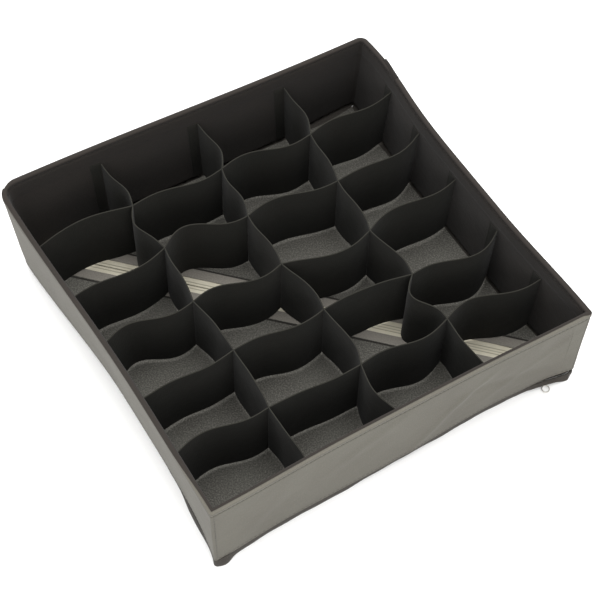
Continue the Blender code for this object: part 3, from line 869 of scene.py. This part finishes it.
def plate(outline, low, high):
    """A flat plate with softened rims: the outline in four rings, the middle two full size."""
    centre = outline.mean(0)
    small = centre + (outline - centre) * (1 - SOFT_RIM / np.abs(outline - centre).max())
    rings = [(small, low), (outline, low + SOFT_RIM), (outline, high - SOFT_RIM), (small, high)]
    points = np.concatenate([np.column_stack([o, np.full(len(o), z)]) for o, z in rings])
    count = len(outline)
    index = np.arange(count * 4).reshape(4, count)
    sides = np.stack([index[:-1], np.roll(index[:-1], -1, 1), np.roll(index[1:], -1, 1), index[1:]], -1)
    caps = []
    for ring, z in ((0, low), (3, high)):
        points = np.concatenate([points, [[*centre, z]]])
        hub = len(points) - 1
        row = index[ring]
        caps.append(np.stack([row, np.roll(row, -1), np.full(count, hub), np.full(count, hub)], -1))
    return points, np.concatenate([sides.reshape(-1, 4), *caps])


def join_shells(name, shells):
    """Several closed shells as one piece. A face that repeats a corner is a triangle."""
    points, faces, skip = [], [], 0
    for shell_points, shell_faces in shells:
        points.append(shell_points)
        faces += [tuple(dict.fromkeys((f + skip).tolist())) for f in shell_faces]
        skip += len(shell_points)
    return add_shells(name, np.concatenate(points), faces, 40.0)


def superellipse(half_long, half_wide, power, count):
    """A squarish oval: the cosine and sine of a turn, each raised to a power below 1, keeping its sign."""
    t = np.arange(count) * 2 * np.pi / count
    x = np.sign(np.cos(t)) * np.abs(np.cos(t)) ** power * half_long
    y = np.sign(np.sin(t)) * np.abs(np.sin(t)) ** power * half_wide
    return x, y


def shield(wide, long):
    """A slider plate's outline: a superellipse, wider towards the end where the coil halves part."""
    x, y = superellipse(long, wide, 0.75, 40)
    y = y * (0.86 + 0.14 * x / long)
    return slider_centre + np.outer(x, -ALONG_ZIP) + np.outer(y, ACROSS_ZIP)


def tube_with_ends(path, radius, sides):
    """A round tube closed at both ends by a fan about the path's first and last points."""
    points, quads = sweep_tube(path, radius, sides)
    ring = np.arange(sides)
    caps = []
    for skip, hub in ((0, len(points)), (len(points) - sides, len(points) + 1)):
        hubs = np.full(sides, hub)
        caps.append(np.stack([ring + skip, np.roll(ring, -1) + skip, hubs, hubs], -1))
    return np.concatenate([points, path[[0, -1]]]), np.concatenate([quads, *caps])


def at_height(path, height):
    """A path in the plan, laid at a height."""
    return np.column_stack([path, np.full(len(path), height)])


LOWER_PLATE = (2.8, 3.65)  # bottom and top
UPPER_PLATE = (5.75, 6.5)
FLANGE_HALF_LENGTH = 3.6
FLANGE_FROM_ZIP = 3.75
FLANGE_HEIGHT = 3.55
ROD = 0.5  # the radius of the flanges and the bridge
BRIDGE_HALF_LENGTH = 3.1
BRIDGE_DROP = 2.1
flange_shells = []
for side in (-1, 1):
    along = np.linspace(-FLANGE_HALF_LENGTH, FLANGE_HALF_LENGTH, 9)
    rail = slider_centre + np.outer(along, ALONG_ZIP) + side * FLANGE_FROM_ZIP * ACROSS_ZIP
    flange_shells.append(tube_with_ends(at_height(rail, FLANGE_HEIGHT), ROD, 8))
arch = np.linspace(0, np.pi, 17)
bridge_path = slider_centre + np.outer(-BRIDGE_HALF_LENGTH * np.cos(arch), pull_run)
bridge_height = LOWER_PLATE[0] + 0.1 - BRIDGE_DROP * np.abs(np.sin(arch)) ** 0.6
post_path = np.column_stack([np.tile(slider_centre - ALONG_ZIP * 3.0, (2, 1)), [3.2, 6.2]])
slider = join_shells(
    "zip_slider_body",
    [
        plate(shield(4.2, 4.6), *LOWER_PLATE),
        plate(shield(3.0, 4.2), *UPPER_PLATE),
        tube_with_ends(post_path, 0.75, 10),
        tube_with_ends(np.column_stack([bridge_path, bridge_height]), ROD, 8),
        *flange_shells,
    ],
)
slider.data.materials.append(bright_zinc)
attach(slider, "slider")
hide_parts("zip_slider")

PULL_HEIGHT = 2.0
RING_POINTS = 48
STEM_WIRE = 0.42
NECK_WIRE = 0.55
turn = np.arange(RING_POINTS) * 2 * np.pi / RING_POINTS
ring_path = ring_centre + RING_RADIUS * np.column_stack([np.cos(turn), np.sin(turn)])
ring_shell = sweep_tube(at_height(ring_path, PULL_HEIGHT), RING_WIRE, 10, closed=True)
stem_shells = []
for side in (-1, 1):
    # Two rods run from the bridge, where they close in, and draw together towards the ring.
    run = np.linspace(0, pull_length - RING_RADIUS, 14)
    spread = side * (1.5 - 0.75 * rise(run, 4.5, 9.0)) * (1 - 0.9 * rise(-run, -0.9, 0.2))
    rail = slider_centre + np.outer(run - 0.2, pull_run) + np.outer(spread, pull_side)
    stem_shells.append(tube_with_ends(at_height(rail, PULL_HEIGHT), STEM_WIRE, 8))
neck = np.linspace(5.4, pull_length - RING_RADIUS + 0.2, 8)
neck_path = slider_centre + np.outer(neck, pull_run)
neck_shell = tube_with_ends(at_height(neck_path, PULL_HEIGHT), NECK_WIRE, 8)
pull = join_shells("zip_pull_ring", [ring_shell, *stem_shells, neck_shell])
pull.data.materials.append(bright_zinc)
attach(pull, "pull")
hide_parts("zip_pull")

# Each stop is a squarish clip pressed round the ends of the coil, just past its last turn.
CLIP_HALF_LENGTH = 1.5
CLIP_BOTTOM = 4.0
CLIP_TOP = 5.3
PAST_COIL = 1.8
for stop, along, aside, half_wide, side, body in (
    ("near_top_stop", ZIP_START - PAST_COIL, 1.3, 1.15, 1, "front_wall"),
    ("far_top_stop", ZIP_START - PAST_COIL, -1.3, 1.15, -1, "right_wall"),
    ("bottom_stop", COIL_END + PAST_COIL, 0.0, 2.3, 1, "back_wall"),
):
    middle = on_zip(along, aside, 1)
    lift = float(tilt(middle, side))
    x, y = superellipse(CLIP_HALF_LENGTH, half_wide, 0.6, 28)
    outline = middle + np.outer(x, ALONG_ZIP) + np.outer(y, ACROSS_ZIP)
    clip = join_shells(f"{stop}_clip", [plate(outline, CLIP_BOTTOM + lift, CLIP_TOP + lift)])
    clip.data.materials.append(bright_zinc)
    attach(clip, body)
    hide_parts(stop)

# ---- Dividers ----------------------------------------------------------------------------------------
# Three long strips run from front to back and five rows cross them, all of black spunbond cut with a hot
# knife. They are sewn where they cross and at the walls, and bow between the crossings. The edges are
# raw and drawn paler than the cloth, the top one with a painted highlight where it catches the light.

DIVIDER_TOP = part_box("long_divider_1")[1].z * 1000
DIVIDER_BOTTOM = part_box("long_divider_1")[0].z * 1000 - 2.0  # the cloth's raw edge brushes the bottom
DIVIDER_HALF = 0.42
# The darkest of the cloths, with hardly any fleck, but paler along its raw edges, and with a painted
# highlight along its top edge.
divider_cloth = spunbond("black divider spunbond", "#191916", "#1f1d1a", "#3a3933", 0.2, 0.05)

# Where each row crosses each long divider, as a place in the plan, from the back row to the front one.
CROSSINGS = [
    [(88.1, 294.5), (90.7, 241.5), (85.4, 181.5), (90.6, 123.6), (88.3, 63.0)],
    [(174.4, 291.7), (168.4, 235.5), (167.6, 177.7), (174.4, 120.5), (172.5, 59.9)],
    [(261.7, 286.4), (255.1, 229.2), (250.5, 169.8), (256.6, 113.2), (257.1, 61.7)],
]
LONG_BACK = (85.7, 180.7, 269.0)
LONG_FRONT = (89.1, 175.4, 258.9)
ROW_LEFT = (293.7, 234.5, 181.2, 119.8, 63.0)
ROW_RIGHT = (292.0, 239.0, 179.0, 115.5, 55.3)
# How each stretch of cloth hangs: its bulge at the middle, and its wave to either side of that.
ROW_HANG = [
    [(8, 0.5), (-0.5, 3), (1.5, 4), (0, 3)],
    [(-2.5, 3), (9, 6.5), (4, 3.5), (-5.5, 3)],
    [(3, 4.5), (-0.5, 4.5), (-9, 2), (3, 4.5)],
    [(-0.5, 2), (-2, 2.5), (4, 0), (-8.5, 5)],
    [(4, 3.5), (-0.5, 1), (-3, 3.5), (4, 5)],
]
LONG_HANG = [
    [(2.5, -2), (-7, -2.5), (1, -1), (2, 0), (1.5, -0.5), (0.5, -0.5)],
    [(6, -2), (1.5, -2), (1.5, -1.5), (4.5, -1), (4.5, -1.5), (-5.5, 0)],
    [(4.5, -1.5), (1.5, -1), (2.5, -1.5), (3, -1.5), (-9.5, -5), (-2, 0)],
]


def hang(start, end, bow, swing, t, seed):
    """Plan lines of one stretch at every height: a run plus half a sine and a whole one, a little
    different at the bottom. Start and end are given for each height."""
    run = end - start
    aside = np.stack([-run[:, 1], run[:, 0]], -1) / np.linalg.norm(run, axis=1)[:, None]
    height = np.linspace(0, 1, len(start))[None, :]  # 0 at the bottom
    loose = 1 - height
    bow = bow * (1 + loose * 0.15 * math.sin(seed * 1.7)) + loose * 1.2 * math.sin(seed * 2.3)
    swing = swing * (1 + 0.2 * loose * math.cos(seed)) + loose * 0.9 * math.cos(seed * 3.1)
    off = bow * np.sin(np.pi * t)[:, None] + swing * np.sin(2 * np.pi * t)[:, None]
    off = off + 0.25 * np.sin(3 * np.pi * t + seed)[:, None] * np.sin(np.pi * t)[:, None] * (1 + loose)
    return start[None] + run[None] * t[:, None, None] + aside[None] * off[..., None]


def divider(name, lines, heights, seed):
    """A standing strip: plan lines at each height, given a thickness square to their run."""
    run = np.gradient(lines, axis=0)
    aside = np.stack([-run[..., 1], run[..., 0]], -1)
    aside *= DIVIDER_HALF / np.linalg.norm(aside, axis=-1, keepdims=True)
    travel = np.concatenate([[0], np.cumsum(np.linalg.norm(np.diff(lines[:, -1], axis=0), axis=1))])
    dip = 0.5 * np.sin(travel / 19.0 + seed) * rise(np.minimum(travel, travel[-1] - travel), 0, 12)
    share = (heights - heights[0]) / (heights[-1] - heights[0])
    z = heights[None, :] + dip[:, None] * (0.5 + 0.2 * share)[None, :]
    face = np.concatenate([lines + aside, z[..., None]], -1)
    back = np.concatenate([lines - aside, z[..., None]], -1)
    # A paler raw foot, and a painted highlight along the top edge where it catches the light.
    raw_foot_and_painted_top_highlight = 0.5 * np.exp(-(((heights[-1] - heights) / 0.5) ** 2))
    raw_foot_and_painted_top_highlight = raw_foot_and_painted_top_highlight + 0.3 * np.exp(-(((heights - heights[0]) / 0.5) ** 2))
    made = add_sheet(name, face, back, travel[:, None] + 0 * z, z + 70 * seed, raw_foot_and_painted_top_highlight[None, :])
    made.data.materials.append(divider_cloth)
    return made, float(travel[-1])


EDGE_BAND = 0.9  # the raw edges' mesh is finer than this
divider_heights = np.concatenate(
    [[DIVIDER_BOTTOM], np.linspace(DIVIDER_BOTTOM + EDGE_BAND, DIVIDER_TOP - EDGE_BAND, 16), [DIVIDER_TOP]]
)
inner = WALL + 0.1  # the dividers' ends meet the lining
tall = np.ones(len(divider_heights))
steps = np.linspace(0, 1, 29)
# What each long divider's ends need, to turn clear of the linings as the tray folds.
BACK_ROOM = (2.3, 0.9, 0.9)
FRONT_ROOM = (0.9, 1.4, 1.6)
for column in range(3):
    back_end = on_tray(BACK_LEFT - LONG_BACK[column], inner + BACK_ROOM[column], divider_heights)[:, :2]
    front_end = on_tray(LONG_FRONT[column], inner + FRONT_ROOM[column], divider_heights)[:, :2]
    stops = [back_end] + [np.outer(tall, point) for point in CROSSINGS[column]] + [front_end]
    stretches = []
    for k in range(6):
        bow, swing = LONG_HANG[column][k]
        lines = hang(stops[k], stops[k + 1], bow, swing, steps, column * 7 + k + 1.0)
        stretches.append(lines if k == 5 else lines[:-1])
    name = f"long_divider_{column + 1}"
    strip, strip_length = divider(f"{name}_cloth", np.concatenate(stretches), divider_heights, column + 1.0)
    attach(strip, name)
    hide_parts(name)

for row in range(5):
    for column in range(4):
        seed = row * 5 + column + 2.0
        left_wall_end = on_tray(TURN - ROW_LEFT[row], inner, divider_heights)[:, :2]
        right_wall_end = on_tray(SIDE + ROW_RIGHT[row], inner, divider_heights)[:, :2]
        left = left_wall_end if column == 0 else np.outer(tall, CROSSINGS[column - 1][row])
        right = right_wall_end if column == 3 else np.outer(tall, CROSSINGS[column][row])
        lines = hang(left, right, *ROW_HANG[row][column], steps, seed)
        # Cut back by the thickness of the long divider that it meets.
        travel = np.concatenate([[0], np.cumsum(np.linalg.norm(np.diff(lines[:, -1], axis=0), axis=1))])
        spare = (0.0 if column == 0 else 0.5, 0.6 if column == 3 else 0.9)
        wanted = np.interp(np.linspace(spare[0], travel[-1] - spare[1], len(steps)), travel, steps)
        lines = hang(left, right, *ROW_HANG[row][column], wanted, seed)
        body = f"row{row + 1}_piece_{column + 1}"
        node = f"cross_divider_row{row + 1}_{column + 1}"
        strip, strip_length = divider(f"{node}_cloth", lines, divider_heights, row * 4 + column + 5.0)
        # The places from which it would bend off the strip that holds it, over a third of its length, or two
        # where the wall leans in; they are worked out but not used.
        first, inside = lines[0, -1], lines[20 if column == 0 else 9, -1]
        ends = [in_metres(np.append(point, 40.0)) for point in (first, inside)]
        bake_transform(strip)
        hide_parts(node)

# ---- Divider tabs ------------------------------------------------------------------------------------
# Each divider's end is turned flat against the lining and sewn down along both sides of the turned part.

TAB = 10.0
tab_heights = np.linspace(DIVIDER_BOTTOM + 0.5, DIVIDER_TOP - 0.3, 14)
TAB_THICKNESS = 0.5
tab_places = [("front", place) for place in LONG_FRONT]
tab_places += [("back", BACK_LEFT - place) for place in LONG_BACK]
tab_places += [("left", TURN - place) for place in ROW_LEFT]
tab_places += [("right", SIDE + place) for place in ROW_RIGHT]
for number, (side, place) in enumerate(tab_places):
    across = np.linspace(0.3, TAB, 9)
    around = (place + across)[:, None]
    sewn_down = 0.3 * np.exp(-(((across - 1.8) / 0.5) ** 2)) + 0.3 * np.exp(-(((across - 8.4) / 0.5) ** 2))
    depth = WALL + 0.55 - sewn_down[:, None]
    z = tab_heights[None, :] + 0 * around
    face = on_tray(around, depth + 0 * z, z)
    back = on_tray(around, depth - TAB_THICKNESS + 0 * z, z)
    # A painted highlight along the tab's top edge, as on the dividers.
    tab_top_painted_highlight = 0.15 * np.exp(-(((tab_heights[-1] - tab_heights) / 0.6) ** 2))
    tab = add_sheet(f"{side}_tab_{number + 1}", face, back, around + 0 * z, z + 900, tab_top_painted_highlight[None, :])
    tab.data.materials.append(divider_cloth)
    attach(tab, f"{side}_wall")

# ---- Sewing thread -----------------------------------------------------------------------------------
# Lockstitches of polyester thread, about 3.4 mm long: one row round the outside below the rim, one inside
# under it, one above the seam hem, and the upright seams of the two front corners.


def spun_thread(name, dark, light):
    """Twisted polyester: fine slanting bands along the stitch, a little glossier than the cloth."""
    material, shader = new_material(name)
    metres = add_node(material, "UVMap", uv_map="cloth").outputs["UV"]
    twist = add_node(
        material,
        "TexWave",
        {"Vector": metres, "Scale": 900.0, "Distortion": 0.0},
        bands_direction="DIAGONAL",
    )
    tone = add_node(
        material,
        "Mix",
        {0: twist.outputs["Fac"], 6: linear(dark), 7: linear(light)},
        data_type="RGBA",
    )
    bump = add_node(material, "Bump", {"Height": twist.outputs["Fac"], "Distance": 0.00005})
    material.node_tree.links.new(tone.outputs[2], shader.inputs["Base Color"])
    material.node_tree.links.new(bump.outputs[0], shader.inputs["Normal"])
    shader.inputs["Roughness"].default_value = 0.6
    shader.inputs["Sheen Weight"].default_value = 0.1
    shader.inputs["Specular IOR Level"].default_value = 0.2
    return material


thread = spun_thread("dark grey polyester thread", "#302e2b", "#46433f")
black_thread = spun_thread("black polyester thread", "#191716", "#292624")
STITCH = 3.4
STITCH_GAP = 0.7


def stitches(name, path, normal, radius=0.24, spun=thread):
    """Stitches along a path, each a short spindle that dips into the cloth at its ends: five rings of six
    points, swelling to the middle and lifted along the cloth's normal."""
    travel = np.concatenate([[0], np.cumsum(np.linalg.norm(np.diff(path, axis=0), axis=1))])
    count = int((travel[-1] - STITCH_GAP) // (STITCH + STITCH_GAP))
    middle = (np.arange(count) + 0.5) * (STITCH + STITCH_GAP) + STITCH_GAP / 2
    share = np.array([-0.5, -0.3, 0.0, 0.3, 0.5])
    swell = np.array([0.35, 0.9, 1.0, 0.9, 0.35])
    lift = np.array([-0.8, 0.1, 0.45, 0.1, -0.8])
    at = middle[:, None] + share[None, :] * STITCH
    spine = np.stack([np.interp(at, travel, path[:, k]) for k in range(3)], -1)
    out = np.stack([np.interp(at, travel, normal[:, k]) for k in range(3)], -1)
    run = (spine[:, -1] - spine[:, 0])[:, None, :]
    run = run / np.linalg.norm(run, axis=-1, keepdims=True)
    beside = np.cross(run, out)
    beside /= np.linalg.norm(beside, axis=-1, keepdims=True)
    spine = spine + out * (lift * radius)[None, :, None]
    turn = np.arange(6) * np.pi / 3
    ring = out[:, :, None] * np.cos(turn)[:, None] + beside[:, :, None] * np.sin(turn)[:, None]
    points = spine[:, :, None] + ring * (swell * radius)[None, :, None, None]
    index = np.arange(count * 30).reshape(count, 5, 6)
    here, there = index[:, :-1], index[:, 1:]
    quads = np.stack([here, np.roll(here, -1, 2), np.roll(there, -1, 2), there], -1).reshape(-1, 4)
    caps = []
    for k in (0, 4):
        end = index[:, k]
        caps += [end[:, [0, 1, 2, 3]], end[:, [0, 3, 4, 5]]]
    coords = np.stack([np.repeat(at.ravel(), 6), np.tile(turn, count * 5) * radius], -1)
    made = add_mesh(name, points.reshape(-1, 3), np.concatenate([quads, *caps]), coords, crease=60.0)
    made.data.materials.append(spun)
    return made


def outward(around, depth, z):
    """The cloth's normal at places on the tray, pointing out."""
    normal = on_tray(around, depth - 1.0, z) - on_tray(around, depth, z)
    normal[..., 2] = 0
    return normal / np.linalg.norm(normal, axis=-1, keepdims=True)


RIM_STITCH = 87.0
HEM_STITCH = 10.2
for part, (span, corner_name) in SPANS.items():
    around = places(*span)
    z = np.full(len(around), TOPSTITCH)
    depth = cover_waves(around, z) + 0.45
    row = stitches(f"{part}_topstitch", on_tray(around, depth, z), outward(around, depth, z))
    bend_at(row, *CORNER_BODIES[corner_name])
    z = np.full(len(around), RIM_STITCH)
    depth = np.full(len(around), WALL - 0.1)
    facing_in = -outward(around, depth, z)
    row = stitches(f"{part}_rim_stitch", on_tray(around, depth, z), facing_in, spun=black_thread)
    bend_at(row, *CORNER_BODIES[corner_name])
    z = HEM_STITCH + rise_of_gap(around)
    depth = cover_waves(around, z)
    row = stitches(f"{part}_hem_stitch", on_tray(around, depth, z), outward(around, depth, z), radius=0.2)
    bend_at(row, *CORNER_BODIES[corner_name])
for corner_label, place in (("front_left", 2.6), ("front_right", SIDE - 2.8)):
    z = np.linspace(11, 82, 60)
    depth = cover_waves(np.full(60, place), z)
    row = stitches(f"{corner_label}_corner_stitch", on_tray(place, depth, z), outward(place, depth, z))
    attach(row, "front_wall")

# ---- Floor, light and camera -------------------------------------------------------------------------
# A plain white table, wide soft light from overhead and a bright surround, as for a catalogue picture.

# Uncoated and white, so it scatters light evenly.
paper, paper_shader = new_material("matt white paper")
paper_place = add_node(paper, "TexCoord").outputs["Object"]
paper_tone = add_node(paper, "TexNoise", {"Vector": paper_place, "Scale": 8.0})
paper_mix = add_node(
    paper,
    "Mix",
    {0: paper_tone.outputs["Fac"], 6: linear("#fcfcfb"), 7: linear("#fafaf9")},
    data_type="RGBA",
)
paper.node_tree.links.new(paper_mix.outputs[2], paper_shader.inputs["Base Color"])
paper_shader.inputs["Roughness"].default_value = 1.0
paper_shader.inputs["Specular IOR Level"].default_value = 0.0
bpy.ops.mesh.primitive_plane_add(size=14.0, location=(0, 0, 0))
floor = bpy.context.object
floor.name = "floor"
floor.data.materials.append(paper)

world = bpy.data.worlds.new("bright room")
bpy.context.scene.world = world
world.use_nodes = True
surround = world.node_tree.nodes["Background"]
surround.inputs["Color"].default_value = (1.0, 1.0, 1.0, 1.0)
surround.inputs["Strength"].default_value = 1.14


def add_soft_box(name, place, aim, size, power):
    """A square studio light at a place, turned to face a point."""
    lamp = bpy.data.lights.new(name, "AREA")
    lamp.shape = "SQUARE"
    lamp.size = size
    lamp.energy = power
    made = bpy.data.objects.new(name, lamp)
    bpy.context.scene.collection.objects.link(made)
    made.location = place
    made.rotation_mode = "QUATERNION"
    made.rotation_quaternion = (Vector(aim) - Vector(place)).to_track_quat("-Z", "Y")


add_soft_box("overhead", place=(0.05, 0.3, 2.2), aim=(0, 0, 0), size=1.8, power=45.0)
add_soft_box("front fill", place=(-0.5, -2.1, 1.3), aim=(0, 0, 0.05), size=1.2, power=21.0)

camera_data = bpy.data.cameras.new("camera")
camera_data.sensor_width = 36.0
camera_data.lens = 94.19
camera_data.clip_end = 100.0
camera = bpy.data.objects.new("camera", camera_data)
camera.location = (-0.40199, -0.64639, 1.14580)
camera.rotation_euler = [math.radians(angle) for angle in (34.0883, -0.9720, -30.9240)]
bpy.context.scene.collection.objects.link(camera)
bpy.context.scene.camera = camera
bpy.context.scene.view_settings.view_transform = "Standard"
